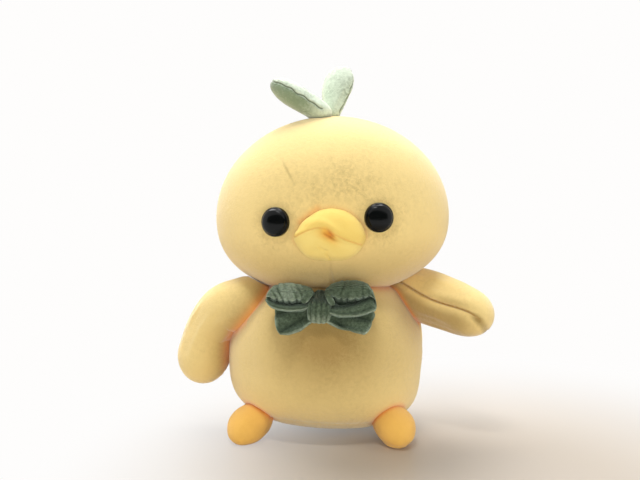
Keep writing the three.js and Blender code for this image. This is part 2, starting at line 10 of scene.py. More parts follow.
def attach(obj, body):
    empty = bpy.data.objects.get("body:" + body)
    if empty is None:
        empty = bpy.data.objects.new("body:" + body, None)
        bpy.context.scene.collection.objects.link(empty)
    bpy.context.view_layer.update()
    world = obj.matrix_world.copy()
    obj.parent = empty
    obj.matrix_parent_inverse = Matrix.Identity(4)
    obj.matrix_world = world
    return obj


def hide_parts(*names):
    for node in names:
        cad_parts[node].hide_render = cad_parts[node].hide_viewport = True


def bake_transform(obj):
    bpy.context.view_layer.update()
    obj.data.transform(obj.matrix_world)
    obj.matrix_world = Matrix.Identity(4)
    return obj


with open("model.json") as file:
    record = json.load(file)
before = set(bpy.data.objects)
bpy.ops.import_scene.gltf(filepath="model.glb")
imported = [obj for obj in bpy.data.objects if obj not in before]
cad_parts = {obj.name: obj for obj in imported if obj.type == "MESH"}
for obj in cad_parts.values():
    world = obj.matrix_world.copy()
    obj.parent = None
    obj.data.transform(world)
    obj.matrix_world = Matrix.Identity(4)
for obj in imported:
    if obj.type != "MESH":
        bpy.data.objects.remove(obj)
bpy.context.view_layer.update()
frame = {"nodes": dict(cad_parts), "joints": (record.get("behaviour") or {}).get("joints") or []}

# Body
# The body is a barrel of short-pile plush: a front panel, two back panels and an oval base, sewn inside out,
# turned and filled firmly with polyester fibre. It leans back a little on its seat, which the shelf
# presses flat.

MM = 0.001
BODY_WIDTH, BODY_DEPTH = 120, 100
CHEST_RISE, BELLY_RISE = 53, 40
BODY_PLACE = (
    Matrix.Translation(Vector((-7.226, -16.045, 41.191)) * MM)
    @ Matrix.Rotation(radians(-7), 4, "X")
    @ Matrix.Rotation(radians(2), 4, "Y")
)


def points_of(piece, kind="co"):
    flat = np.empty(len(piece.data.vertices) * 3, np.float32)
    piece.data.vertices.foreach_get(kind, flat)
    return flat.reshape(-1, 3).astype(float)


def normals_of(piece):
    return points_of(piece, "normal")


def set_points(piece, points):
    piece.data.vertices.foreach_set("co", points.astype(np.float32).ravel())
    piece.data.update()


def round_blank(name, cuts):
    """A ball of even squares, one unit in radius: the blank that a stuffed form is shaped from."""
    bpy.ops.object.select_all(action="DESELECT")
    bpy.ops.mesh.primitive_cube_add(size=2)
    blank = bpy.context.object
    blank.name = blank.data.name = name
    bpy.ops.object.mode_set(mode="EDIT")
    bpy.ops.mesh.select_all(action="SELECT")
    bpy.ops.mesh.subdivide(number_cuts=cuts)
    bpy.ops.object.mode_set(mode="OBJECT")
    cube = np.tan(points_of(blank) * pi / 4)
    set_points(blank, cube / np.linalg.norm(cube, axis=1)[:, None])
    bpy.ops.object.shade_smooth()
    return blank


def put(piece, place):
    """Sets a piece that was made in millimetres in its place."""
    piece.data.transform(place @ Matrix.Scale(MM, 4))


def own_points(piece, place):
    """The piece's points in its own millimetres."""
    return (points_of(piece) - np.array(place.translation)) @ np.array(place.to_3x3()) / MM


def sculpt(piece, place, move):
    """Moves the cloth as given: move gets points and normals in the piece's own millimetres."""
    turn = np.array(place.to_3x3())
    moved = move(own_points(piece, place), normals_of(piece) @ turn)
    set_points(piece, moved * MM @ turn.T + np.array(place.translation))


def step(low, high, value):
    """0 up to low, 1 from high on, and a smooth rise between them."""
    run = np.clip((value - low) / (high - low), 0, 1)
    return run * run * (3 - 2 * run)


def hump(value, width):
    """1 at 0, and falling away on both sides."""
    return np.exp(-((value / width) ** 2))


def form_points(ball, width, depth, up, down, swell, up_power, down_power, side_power=0.0, dome=False):
    """A form cut smaller by what the filling adds. Higher powers make it squarer, side_power over its sides,
    and dome grows its depth to its width towards the top."""
    width, depth, up, down = width - 0.6 * swell, depth - 1.4 * swell, up - 0.3 * swell, down - 0.3 * swell
    across, rise, above = np.hypot(ball[:, 0], ball[:, 1]), np.abs(ball[:, 2]), ball[:, 2] > 0
    sideways = (ball[:, 0] / np.maximum(across, 1e-6)) ** 2
    power = np.where(above, up_power + side_power * sideways, down_power)
    reach = (across**power + rise**power) ** (-1 / power)
    z = reach * ball[:, 2] * np.where(above, up, down)
    half_depth = depth / 2 + (width - depth) / 2 * step(-0.7, 0.62, z / up) * dome
    return np.column_stack([reach * ball[:, 0] * width / 2, reach * ball[:, 1] * half_depth, z])


def select_only(piece):
    bpy.ops.object.select_all(action="DESELECT")
    piece.select_set(True)
    bpy.context.view_layer.objects.active = piece


FILL_PRESSURE, FILL_FRAMES = 4, 20
EVEN_SHARE, QUICK_SHARE = 0.5, 0.3


def fill_with_fibre(piece, held, most):
    """Blows the sewn cloth up from inside. The seams hold it, and no point moves further than most, in mm.
    Firm fibre fills evenly, so an even swell makes up a share of it."""
    before = points_of(piece)
    even = normals_of(piece) * most * MM * ~held[:, None]
    select_only(piece)
    seam = piece.vertex_groups.new(name="seam")
    seam.add([int(i) for i in np.flatnonzero(held)], 1.0, "REPLACE")
    cloth = piece.modifiers.new("filling", "CLOTH")
    cloth.settings.vertex_group_mass = "seam"
    cloth.settings.use_pressure = True
    cloth.settings.uniform_pressure_force = FILL_PRESSURE
    cloth.settings.effector_weights.gravity = 0
    cloth.collision_settings.use_collision = False
    for number in range(1, FILL_FRAMES + 1):
        bpy.context.scene.frame_set(number)
    bpy.ops.object.modifier_apply(modifier="filling")
    bpy.context.scene.frame_set(1)
    piece.vertex_groups.clear()
    move = points_of(piece) - before
    length = np.linalg.norm(move, axis=1)[:, None]
    usual = np.percentile(length, 80)
    move, length = move * most * MM / usual, length * most * MM / usual
    capped = move * np.minimum(1, most * MM / np.maximum(length, 1e-9))
    set_points(piece, before + EVEN_SHARE * even + (1 - EVEN_SHARE) * capped)
    bpy.ops.object.mode_set(mode="EDIT")
    bpy.ops.mesh.select_all(action="SELECT")
    bpy.ops.mesh.vertices_smooth(factor=0.5, repeat=2)
    bpy.ops.object.mode_set(mode="OBJECT")


def refine(piece, levels):
    select_only(piece)
    finer = piece.modifiers.new("finer", "SUBSURF")
    finer.levels = finer.render_levels = levels
    bpy.ops.object.modifier_apply(modifier="finer")


def notes_on(piece, mark):
    layer = piece.data.attributes.get(mark) or piece.data.attributes.new(mark, "FLOAT", "POINT")
    held = np.empty(len(piece.data.vertices), np.float32)
    layer.data.foreach_get("value", held)
    return layer, held


def note(piece, mark, mask):
    """Notes, for the colour of the pile, where a crease gets painted warm shade, where the nap is brushed up,
    and where the pile is darkened: mostly painted shade, in a few places darker nap.
    """
    layer, held = notes_on(piece, mark)
    layer.data.foreach_set("value", np.maximum(held, mask).astype(np.float32))


def sew(points, normals, off, along, depth=1.0, width=1.3, pucker=0.12, pitch=4.0):
    """Draws a seam in: a narrow valley where off is 0, with small puckers beside it. along runs with it."""
    ripple = np.sin(2 * pi * along / pitch) + 0.6 * np.sin(2 * pi * along / (pitch * 1.63) + 1.1)
    valley = -depth * hump(off, width) * (1 + 0.2 * ripple)
    beside = pucker * ripple * hump(np.abs(off) - 2.2 * width, 1.4 * width)
    return points + normals * (valley + beside)[:, None]


def dye(red, green, blue):
    """A colour as the eye reads it, 0 to 255, as light."""
    value = np.array([red, green, blue]) / 255
    return (*np.where(value > 0.04045, ((value + 0.055) / 1.055) ** 2.4, value / 12.92), 1.0)


def feed(tree, socket, value):
    """Gives a socket its value, or links another node's output to it."""
    if isinstance(value, bpy.types.NodeSocket):
        tree.links.new(value, socket)
    else:
        socket.default_value = value


def set_inputs(tree, node, **given):
    """Feeds a node's inputs by name, where _ stands for a blank."""
    for name, value in given.items():
        feed(tree, node.inputs[name.replace("_", " ")], value)


def add_node(tree, kind, **settings):
    """A node with its settings. What isn't a setting is an input."""
    made = tree.nodes.new(kind)
    for name, value in settings.items():
        if name in made.bl_rna.properties:
            setattr(made, name, value)
        else:
            set_inputs(tree, made, **{name: value})
    return made


def noise_on(tree, **settings):
    """Noise that keeps its place on the object."""
    place = add_node(tree, "ShaderNodeTexCoord").outputs["Object"]
    return add_node(tree, "ShaderNodeTexNoise", Vector=place, **settings).outputs["Fac"]


def ranged(tree, value, **limits):
    return add_node(tree, "ShaderNodeMapRange", Value=value, **limits).outputs["Result"]


def maths(tree, operation, *values, clamp=False):
    made = add_node(tree, "ShaderNodeMath", operation=operation, use_clamp=clamp)
    for socket, value in zip(made.inputs, values):
        feed(tree, socket, value)
    return made.outputs[0]


def mix_colours(tree, share, first, second, blend="MIX"):
    """A mix of two colours, which the node takes on its sockets 6 and 7 and gives on 2."""
    made = add_node(tree, "ShaderNodeMix", data_type="RGBA", blend_type=blend)
    for number, value in ((0, share), (6, first), (7, second)):
        feed(tree, made.inputs[number], value)
    return made.outputs[2]


def make_short_pile():
    """Short pile: fibre tips, mottles where the nap lies both ways, a darker pile where it is darkened,
    mostly as painted shade and in a few places as darker nap, and a painted warm shade in the creases.
    """
    group = bpy.data.node_groups.new("short pile", "ShaderNodeTree")
    for name in ("Pile", "Brushed pile", "Crease pile"):
        group.interface.new_socket(name, in_out="INPUT", socket_type="NodeSocketColor")
    for name in ("Crease", "Brushed", "Darkening"):
        group.interface.new_socket(name, in_out="INPUT", socket_type="NodeSocketFloat")
    group.interface.new_socket("Colour", in_out="OUTPUT", socket_type="NodeSocketColor")
    group.interface.new_socket("Height", in_out="OUTPUT", socket_type="NodeSocketFloat")
    given, result = add_node(group, "NodeGroupInput").outputs, add_node(group, "NodeGroupOutput")
    tips = noise_on(group, Scale=1400, Detail=3)
    nap = noise_on(group, Scale=400, Detail=6, Roughness=0.75, Distortion=0.5)
    patches = noise_on(group, Scale=45, Detail=3)
    mottle = ranged(group, nap, From_Min=0.4, From_Max=0.68)
    patchy = ranged(group, patches, From_Min=0.35, From_Max=0.65, To_Min=0.25)
    brushed = maths(group, "ADD", given["Brushed"], 0.16, clamp=True)
    mottled = maths(group, "MULTIPLY", maths(group, "MULTIPLY", mottle, patchy), brushed)
    # Darkening: mostly painted shade, in a few places darker nap
    darker = maths(group, "ADD", mottled, given["Darkening"], clamp=True)
    stroked = mix_colours(group, darker, given["Pile"], given["Brushed pile"])
    # Painted warm shade in the creases
    tucked = mix_colours(group, given["Crease"], stroked, given["Crease pile"])
    set_inputs(group, result, Colour=tucked, Height=maths(group, "MULTIPLY_ADD", tips, 0.5, nap))
    return group


short_pile = make_short_pile()


def new_material(name):
    material = bpy.data.materials.new(name)
    material.use_nodes = True
    return material, material.node_tree, material.node_tree.nodes["Principled BSDF"]


def plush(name, pile, brushed, crease, sheen=0.5):
    material, tree, shader = new_material(name)
    noted = {
        mark: add_node(tree, "ShaderNodeAttribute", attribute_name=mark.lower()).outputs["Fac"]
        for mark in ("Crease", "Brushed", "Darkening")
    }
    cloth = add_node(tree, "ShaderNodeGroup", node_tree=short_pile, Pile=pile, Brushed_pile=brushed,
                     Crease_pile=crease, **noted).outputs
    bump = add_node(tree, "ShaderNodeBump", Strength=0.6, Distance=0.0006, Height=cloth["Height"])
    set_inputs(tree, shader, Base_Color=cloth["Colour"], Normal=bump.outputs["Normal"], Roughness=0.95,
               Specular_IOR_Level=0.15, Sheen_Weight=sheen, Sheen_Roughness=0.5)
    return material


# The pile's own yellow; a darker pile for the nap's mottles, for painted shade and for darker nap; and a
# painted warm shade for the creases
yellow_plush = plush("yellow_plush", dye(252, 224, 150), dye(174, 144, 84), dye(240, 162, 86))


def dress(piece, material, slot, *stands_for, fill):
    piece.data.materials.clear()
    piece.data.materials.append(material)
    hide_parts(*stands_for)


body = round_blank("sewn_body", cuts=30)
BODY_SWELL = 2.0
set_points(body, form_points(points_of(body), BODY_WIDTH, BODY_DEPTH, CHEST_RISE, BELLY_RISE, BODY_SWELL,
                             up_power=2.5, down_power=3.3, side_power=0.9, dome=True))
body_seams = np.abs(points_of(body)[:, 1]) < 1.5
put(body, BODY_PLACE)
fill_with_fibre(body, body_seams, BODY_SWELL)
refine(body, levels=2)


BASE_SEAM_RISE = 5
SHOULDER_TAPER, BELLY_SHIFT = 0.14, 1.6


def sew_body(points, normals):
    """The chest narrows to the shoulders, the belly sags to one side, and the seams are drawn in."""
    x, y, z = points.T
    base_line = z + BELLY_RISE - BASE_SEAM_RISE
    shoulder = SHOULDER_TAPER * step(5, 52, z) * step(16, -14, y)
    points = points - np.outer(shoulder * x, (1, 0, 0))
    points = points - np.outer(BELLY_SHIFT * hump(z + 4, 28), (1, 0, 0))
    points = sew(points, normals, y, z, depth=0.5)
    points = sew(points, normals, np.where(y > 0, x, 99), z, depth=0.9)
    return sew(points, normals, base_line, np.arctan2(x, y) * 50, depth=0.7)


SHELF_GAP = 0.05


def sit(piece):
    """The shelf presses the cloth flat."""
    points = points_of(piece)
    points[:, 2] = np.maximum(points[:, 2], SHELF_GAP * MM)
    set_points(piece, points)


sculpt(body, BODY_PLACE, sew_body)
sit(body)
x, y, z = own_points(body, BODY_PLACE).T
# Painted shade on the upper belly, where the head and the bow cast their shadow
note(body, "darkening", (y < 0) * hump(x - 1, 40) * hump(z - 19, 31))
dress(body, yellow_plush, "yellow_plush", "body_front_panel", "body_back_left_panel",
      "body_back_right_panel", "base_panel", "body_stuffing", fill=0.8)
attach(body, "torso")

# Wings
# Each wing is a stuffed sausage of two plush panels sewn edge to edge and closed by hand at its tip. Its wide
# shoulder is sewn flat to the body's side below the chin, one wing hanging and the other raised.

EASE_STEPS, EASE_SPAN = 241, 31


def eased(at, stations, values):
    """Values between stations, without corners."""
    fine = np.linspace(stations[0], stations[-1], EASE_STEPS)
    window = np.hanning(EASE_SPAN)
    padded = np.pad(np.interp(fine, stations, values), EASE_SPAN // 2, mode="edge")
    return np.interp(at, fine, np.convolve(padded, window / window.sum(), mode="valid"))


def limb_points(ball, line, half, tip, inset):
    """A stuffed limb along a line of stations with half sizes: a round root, and a blunt end of tip mm."""
    climb = np.arccos(np.clip(ball[:, 2], -1, 1)) / pi
    turn = np.maximum(np.hypot(ball[:, 0], ball[:, 1]), 1e-6)
    stations, fine = np.linspace(0, 1, len(line)), np.linspace(0, 1, 401)
    path = np.column_stack([eased(fine, stations, part) for part in np.transpose(line)])
    ahead = np.gradient(path, axis=0)
    ahead /= np.linalg.norm(ahead, axis=1)[:, None]
    miles = np.r_[0, np.cumsum(np.linalg.norm(np.diff(path, axis=0), axis=1))]
    root, total = half[0][0] - inset, miles[-1] - 2 * inset
    share = 1.3 * root / (total + 1.3 * root)
    grow = np.minimum(climb / share, 1) * pi / 2
    past = np.clip((climb - share) / (1 - share), 0, 1) * pi / 2
    mile = np.where(climb < share, root * (1 - np.cos(grow)), root + (total - root) * np.sin(past))
    end = 1 - np.clip((total - mile) / tip, 0, 1)
    close = np.sin(grow) * (1 - end**2.2) ** (1 / 2.2) / turn
    mile = mile + inset
    centre = np.column_stack([np.interp(mile, miles, part) for part in path.T])
    along = np.column_stack([np.interp(mile, miles, part) for part in ahead.T])
    wide, thick = (eased(np.interp(mile, miles, fine), stations, part) - inset for part in np.transpose(half))
    across = np.column_stack([-along[:, 2], np.zeros(len(ball)), along[:, 0]])
    beside = np.cross(across, along)
    sideways, forward = (wide * close * ball[:, 0])[:, None], (thick * close * ball[:, 1])[:, None]
    return centre + across * sideways + beside * forward


# How far off a neighbour is looked for, in mm
SEARCH = 30


def nearness(piece, neighbour, reach):
    """Each point near the neighbour: its index, how far off it is in mm, the nearest spot and its normal."""
    tree = BVHTree.FromObject(neighbour, bpy.context.evaluated_depsgraph_get())
    other, points = points_of(neighbour), points_of(piece)
    near = ((points > other.min(0) - reach * MM) & (points < other.max(0) + reach * MM)).all(1)
    found = []
    for i in np.flatnonzero(near):
        spot, normal, face, far = tree.find_nearest(Vector(points[i]), SEARCH * MM)
        if spot is not None:
            off = far / MM if (Vector(points[i]) - spot).dot(normal) > 0 else -far / MM
            if off < reach:
                found.append((i, off, spot, normal))
    return found


def press_against(piece, neighbour, gap, reach, shade=1.0):
    """Presses the piece's cloth out of its neighbour, draws its edge up to it and paints warm shade where
    they meet.
    """
    points, mask = points_of(piece), np.zeros(len(piece.data.vertices))
    for i, off, spot, normal in nearness(piece, neighbour, reach):
        mask[i] = shade * hump(max(off - gap, 0), 1.5)
        pull = 1 if off < gap else (1 - (off - gap) / (reach - gap)) ** 2
        points[i] += np.array(normal) * (gap - off) * pull * MM
    set_points(piece, points)
    note(piece, "crease", mask)


def note_crease(piece, neighbour, reach, shade=1.0, mark="crease"):
    """Paints warm shade into the crease round a piece that is sewn on, or, with the darkening mark, shade
    beside it.
    """
    mask = np.zeros(len(piece.data.vertices))
    for i, off, spot, normal in nearness(piece, neighbour, 2 * reach):
        mask[i] = shade * hump(off, reach)
    note(piece, mark, mask)


def sewn_limb(name, place, limb, seam, cuts, swell):
    """A limb filled with its seam held, all but the last few millimetres at the tip."""
    piece = round_blank(name, cuts)
    set_points(piece, limb_points(points_of(piece), **limb, inset=0.3 * swell))
    blank = points_of(piece)
    held = (np.abs(seam(*blank.T)) < 0.8) & (blank[:, 2] > limb["line"][-1][2] + 4)
    put(piece, place)
    fill_with_fibre(piece, held, swell)
    refine(piece, levels=2)
    return piece


def hinge_of(name):
    """Where a joint of the frame sits, and the line that it turns about."""
    joint = next(joint for joint in frame["joints"] if joint["name"] == name)
    return Vector(joint["pos_m"]), Vector(joint["axis"])


left_wing_place = (
    Matrix.Translation(hinge_of("left_wing_raise")[0])
    @ BODY_PLACE.to_3x3().to_4x4()
    @ Matrix.Rotation(radians(-43), 4, "Z")
    @ Matrix.Rotation(radians(-72), 4, "Y")
    @ Matrix.Rotation(radians(90), 4, "Z")
)
right_wing_place = (
    Matrix.Translation(hinge_of("right_wing_raise")[0])
    @ BODY_PLACE.to_3x3().to_4x4()
    @ Matrix.Rotation(radians(22), 4, "Y")
)
LEFT_WING = dict(
    line=((0, 4.7, 33), (0, 3.9, 12), (0, 1.2, -5), (0, -1.4, -22), (0, -3, -38), (0, -3.6, -51.6)),
    half=((14, 14), (16, 16.2), (16, 16.5), (15.5, 15.6), (14.2, 14.2), (13.4, 13.2)),
    tip=17,
)
RIGHT_WING = dict(
    line=((27, -16, 21.5), (17.2, -15, 8.8), (3.4, -10, -2.6), (-0.6, -4, -19), (2.6, 0, -37), (7.5, 0, -55)),
    half=((18, 14), (17.5, 15.5), (17.2, 15.5), (15.6, 14.8), (17.3, 14.5), (17, 14.5)),
    tip=22,
)
SEAM_END = (-51, -45)


def left_wing_seam(x, y, z):
    """The raised wing's seam runs along its front, a little above the middle."""
    lift = np.radians(13 + 27 * step(-10, -58, z))
    return np.where(z < 20, y * np.cos(lift) - x * np.sin(lift), 99)


def right_wing_seam(x, y, z):
    """The hanging wing's seam runs down both edges, out of the camera's sight."""
    return np.where(z < 6, y, 99)


wings = {}
for side, place, limb, seam, faces in (
    ("left", left_wing_place, LEFT_WING, left_wing_seam, ("upper", "under")),
    ("right", right_wing_place, RIGHT_WING, right_wing_seam, ("front", "back")),
):
    wing = wings[side] = sewn_limb(f"sewn_{side}_wing", place, limb, seam, cuts=24, swell=1.2)

    def sew_wing(points, normals):
        along = points[:, 2]
        depth = 1.1 * step(*SEAM_END, along)
        return sew(points, normals, seam(*points.T), along, depth, width=0.6, pucker=0.1, pitch=3.4)

    sculpt(wing, place, sew_wing)
    x, y, z = own_points(wing, place).T
    off, stitched = seam(x, y, z), step(*SEAM_END, z)
    # Painted shade in the seam's valley
    note(wing, "crease", 0.2 * hump(off, 0.5) * stitched)
    note(wing, "darkening", hump(off, 0.8) * stitched)
    # A darker spot where the seam ends, painted shade over the raised wing's underside and a band of painted
    # shade above its seam
    if side == "left":
        note(wing, "darkening", hump(off - 0.8, 2.4) * hump(z + 48.5, 3.5))
        note(wing, "darkening", 0.75 * step(0, 7, off) * step(-56, -35, z))
        note(wing, "darkening", 0.5 * hump(off + 2.5, 2.5) * hump(z + 30, 14))
    press_against(wing, body, gap=-0.3, reach=2)
    # Painted warm shade in the crease between wing and body, and painted shade beside it, wider at the
    # hanging wing
    beside = 10 if side == "right" else 5
    for piece, other in ((body, wing), (wing, body)):
        note_crease(piece, other, reach=0.4 * beside, shade=0.75)
        note_crease(piece, other, reach=beside, shade=0.7, mark="darkening")
    note_crease(wing, body, reach=1.2 * beside, shade=0.8, mark="darkening")
    dress(wing, yellow_plush, "yellow_plush", *(f"{side}_wing_{face}_panel" for face in faces),
          f"{side}_wing_stuffing", fill=0.75)

# Feet
# Each foot is a stubby ball of deeper orange-yellow plush: an upper over a flat sole, stuffed and sewn into
# the body's front below the belly, where the body's cloth folds over it.

FOOT = dict(line=((0, 0, 13), (0, 0, 4), (0, 0, -8), (0, 0, -21)),
            half=((11, 11), (12.8, 12.4), (13.5, 13), (13.5, 13)), tip=16)
# The feet's deeper yellow, a darker pile for mottles, and a painted warm shade for the creases
foot_plush = plush("foot_plush", dye(250, 196, 98), dye(228, 160, 70), dye(226, 116, 40), sheen=0.3)
TOES_OUT = 16
SOLE_SEAM = 9.5


def tuck_foot(points, inner):
    """The foot is low and narrow on its inner side, and leans back there under the belly."""
    x, y, z = points.T
    x, y = np.where(x * inner > 0, 0.84 * x, x), np.where(y < 0, 0.8 * y, y)
    lean = 0.5 * np.maximum(8 - y, 0) + 0.4 * np.maximum(x * inner, 0)
    return np.column_stack([x, y, z + lean * step(16, 0, z)])


for side, spot, inner in (("left", (34.236, -51.452, 11.2), -1), ("right", (-52.155, -50.588, 9.6), 1)):
    place = (
        Matrix.Translation(Vector(spot) * MM)
        @ Matrix.Rotation(radians(-TOES_OUT * inner), 4, "Z")
        @ Matrix.Rotation(radians(-90), 4, "X")
    )
    foot = round_blank(f"sewn_{side}_foot", cuts=14)
    set_points(foot, tuck_foot(limb_points(points_of(foot), **FOOT, inset=0.3), inner))
    held = np.abs(points_of(foot)[:, 1] - 8) < 0.9
    put(foot, place)
    fill_with_fibre(foot, held, most=0.8)
    refine(foot, levels=2)
    sculpt(foot, place, lambda points, normals: sew(points, normals, points[:, 1] - SOLE_SEAM, points[:, 0],
                                                    depth=0.4, width=0.6, pucker=0.03, pitch=3))
    sit(foot)
    # Painted warm shade in the crease where the foot meets the body
    press_against(foot, body, gap=-0.3, reach=2)
    note_crease(foot, body, reach=2.0, shade=0.7)
    note_crease(body, foot, reach=2.0, shade=0.5)
    dress(foot, foot_plush, "foot_plush", f"{side}_foot_upper", f"{side}_foot_sole",
          f"{side}_foot_stuffing", fill=0.8)
    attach(foot, f"{side}_foot")

# Head
# The head is a wide oval of the same plush: a face panel with a short dart under the beak and two back
# panels. It is filled tight, and its open underside is sewn down on the body's dome.

HEAD_WIDTH, HEAD_DEPTH = 146, 118
HEAD_CROWN, HEAD_CHIN = 62.5, 47.5
HEAD_PLACE = BODY_PLACE @ Matrix.Translation((-1.1 * MM, 0, 90 * MM)) @ Matrix.Rotation(radians(-4.5), 4, "Y")
HEAD_SWELL = 1.6
EYE_SPREAD, EYE_DROP = 30, 0.5
head = round_blank("sewn_head", cuts=30)
set_points(head, form_points(points_of(head), HEAD_WIDTH, HEAD_DEPTH, HEAD_CROWN, HEAD_CHIN, HEAD_SWELL,
                             up_power=2.0, down_power=2.3))
head_seams = np.abs(points_of(head)[:, 1]) < 1.5
put(head, HEAD_PLACE)
fill_with_fibre(head, head_seams, HEAD_SWELL)
refine(head, levels=2)


def chin_dart(x, z):
    """How far a spot lies from the dart, which slants down from the beak."""
    return x + 0.06 * (z + 25)


def sew_head(points, normals):
    """The seams and the dart are drawn in, and the eyes' shanks pull hollows into the face."""
    x, y, z = points.T
    points = sew(points, normals, y, z, depth=0.4)
    points = sew(points, normals, np.where(y > 0, x, 99), z, depth=0.8)
    dart = hump(chin_dart(x, z), 0.8) * step(-14, -20, z) * (y < 0)
    points = points - normals * (dart * (0.5 + 1.2 * step(-26, -42, z)))[:, None]
    for eye_x in (-EYE_SPREAD, EYE_SPREAD):
        off = np.hypot(x - eye_x, z + EYE_DROP)
        points = points - normals * (1.4 * hump(off, 11) * (y < 0))[:, None]
    return points


sculpt(head, HEAD_PLACE, sew_head)
x, y, z = own_points(head, HEAD_PLACE).T
face = y < 0
# Painted shade in the chin dart's valley
note(head, "crease", 0.6 * face * hump(chin_dart(x, z), 0.6) * step(-14, -20, z))
# The pile's own nap: a dark line where it is scratched and a brushed patch on the forehead
nap_line = np.abs(z - 29 + 1.93 * (x + 22.5)) / 2.17
note(head, "brushed", 0.46 * face * hump(x - 8, 33) * hump(z - 21, 13))
note(head, "darkening", 0.5 * face * hump(nap_line, 0.7) * hump(z - 28, 9) ** 2)
# Painted shade over the lower face, down towards the chin
note(head, "darkening", 0.4 * face * step(-8, -34, z))
# Darker nap over the forehead's brushed patch
note(head, "darkening", 0.1 * face * hump(x - 4, 30) * hump(z - 19, 14))
# Painted shade round the hollows that the eyes pull into the face: darker mottles and a darker ring
for eye_x in (-EYE_SPREAD, EYE_SPREAD):
    off = np.hypot(x - eye_x, z + EYE_DROP)
    note(head, "brushed", 0.28 * face * hump(off - 12, 5))
    note(head, "darkening", 0.14 * face * hump(off - 10, 3))
# Painted warm shade in the crease where head and body meet
press_against(head, body, gap=0.6, reach=0.7)
note_crease(head, body, reach=2.5, shade=0.45)
note_crease(body, head, reach=3.5, shade=0.65)


def give_way(piece, neighbour, joint, gap, angles):
    """Leaves room for a neighbour that turns: the piece's cloth is pressed out of it at each angle."""
    hinge, axis = hinge_of(joint)
    for angle in angles:
        swing = Matrix.Rotation(radians(angle), 4, axis)
        turn = Matrix.Translation(hinge) @ swing @ Matrix.Translation(-hinge)
        neighbour.data.transform(turn)
        neighbour.data.update()
        press_against(piece, neighbour, gap, reach=gap + 0.1, shade=0)
        neighbour.data.transform(turn.inverted())
        neighbour.data.update()


give_way(wings["right"], head, "head_turn", gap=0.1, angles=(0, 6, 12, 18, 25))
press_against(head, wings["left"], gap=0.4, reach=0.5)
for side, place, limb in (("left", left_wing_place, LEFT_WING), ("right", right_wing_place, RIGHT_WING)):
    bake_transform(wings[side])
dress(head, yellow_plush, "yellow_plush", "head_face_panel", "head_back_left_panel",
      "head_back_right_panel", "head_stuffing", fill=0.85)
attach(head, "head")

# Beak
# The beak is a small padded diamond of brighter yellow plush. Its two panels meet in the mouth seam, the
# lower one has a short dart, and a hand stitch pinches the seam in the middle.

BEAK_PLACE = (
    HEAD_PLACE
    @ Matrix.Translation(Vector((1.1, -57.9, -9.5)) * MM)
    @ Matrix.Rotation(radians(-18), 4, "X")
)
# The beak's brighter yellow, a deeper orange for its upper lip and for painted shade, and a painted shade for
# the mouth, the pinch and the creases
beak_plush = plush("beak_plush", dye(255, 228, 136), dye(250, 210, 100), dye(222, 142, 58), sheen=0.15)
beak = round_blank("sewn_beak", cuts=20)
BEAK_HALF, BEAK_RISE, BEAK_FALL, BEAK_OUT = 21.2, 15.8, 14.5, 14.5
BEAK_POWER = 2.3
# How far the edge reaches, as a share of a plain oval, at angles round the beak
BEAK_EDGE = (
    (-180, -154, -128, -111, -92, -67, -51, -25, -7, 13, 38, 61, 84, 103, 128, 166, 180),
    (1.0, 0.96, 1.04, 1.01, 0.98, 1.06, 1.05, 0.98, 1.0, 0.96, 0.96, 0.99, 1.0, 0.96, 0.88, 0.9, 1.0),
)


def beak_points(ball):
    """A cushion that is round in front and flat where it is sewn to the face."""
    x, y, z = ball.T
    out = np.where(y < 0, -y, 0)
    reach = (np.hypot(x, z) ** BEAK_POWER + out**BEAK_POWER) ** (-1 / BEAK_POWER)
    edge = reach * np.interp(np.degrees(np.arctan2(z, x)), *BEAK_EDGE)
    forward = np.where(y < 0, reach * y * (BEAK_OUT + 2 * z), y * 3)
    return np.column_stack([edge * x * BEAK_HALF + 0.3, forward,
                            edge * z * np.where(z > 0, BEAK_RISE, BEAK_FALL)])


set_points(beak, beak_points(points_of(beak)))
put(beak, BEAK_PLACE)
refine(beak, levels=2)
# The mouth seam from corner to corner: places across the beak, and the seam's height there
MOUTH = (
    (-19.5, -18.9, -11, -5.2, -0.7, 3.6, 11.5, 18.3, 20),
    (0.0, 0.3, 3.7, 4.9, 3.7, 0.7, -3.2, -5.7, -6.0),
)


def off_line(x, z, start, end):
    """How far a point lies from a short stitched line."""
    way = np.array(end) - np.array(start)
    run = np.clip(((x - start[0]) * way[0] + (z - start[1]) * way[1]) / (way @ way), 0, 1)
    return np.hypot(x - start[0] - run * way[0], z - start[1] - run * way[1])


def seen_height(y, z):
    """The beak tips up, so its height as the camera sees it also counts how far a spot stands out."""
    return 0.966 * z - 0.259 * y


def sew_beak(points, normals):
    """The upper lip overhangs the seam, a stitch pinches its middle, and the dart folds the lower panel."""
    x, y, z = points.T
    high = seen_height(y, z)
    mouth = high - eased(x, *MOUTH)
    overhang = 1.2 * hump(mouth - 3.2, 2.6) - 2.1 * hump(mouth + 2.8, 2.4)
    move = -0.7 * hump(mouth, 0.7) + overhang * hump(x, 11)
    move -= 3.2 * hump(np.hypot(x - 0.8, 1.2 * (mouth + 1.6)), 2.7)
    move -= 0.7 * hump(off_line(x, high, (-5.45, -6.5), (-0.7, -9.0)), 0.7)
    move -= 0.9 * hump(off_line(x, high, (-1.6, -10.0), (0.7, -15.3)), 0.7)
    return points + normals * (move * (y < 0))[:, None]


sculpt(beak, BEAK_PLACE, sew_beak)
x, y, z = own_points(beak, BEAK_PLACE).T
lip = seen_height(y, z) - eased(x, *MOUTH)
# Painted shade in the mouth seam and in the dimple that the stitch pinches
stitch = hump(np.hypot(x - 1.5, lip + 1.2), 2.4)
note(beak, "crease", (y < 0) * np.maximum(0.35 * hump(lip, 0.6), 0.7 * stitch))
# Painted shade under the overhanging upper lip
note(beak, "crease", 0.46 * (y < 0) * hump(np.hypot(0.55 * x, lip + 3.2), 3))
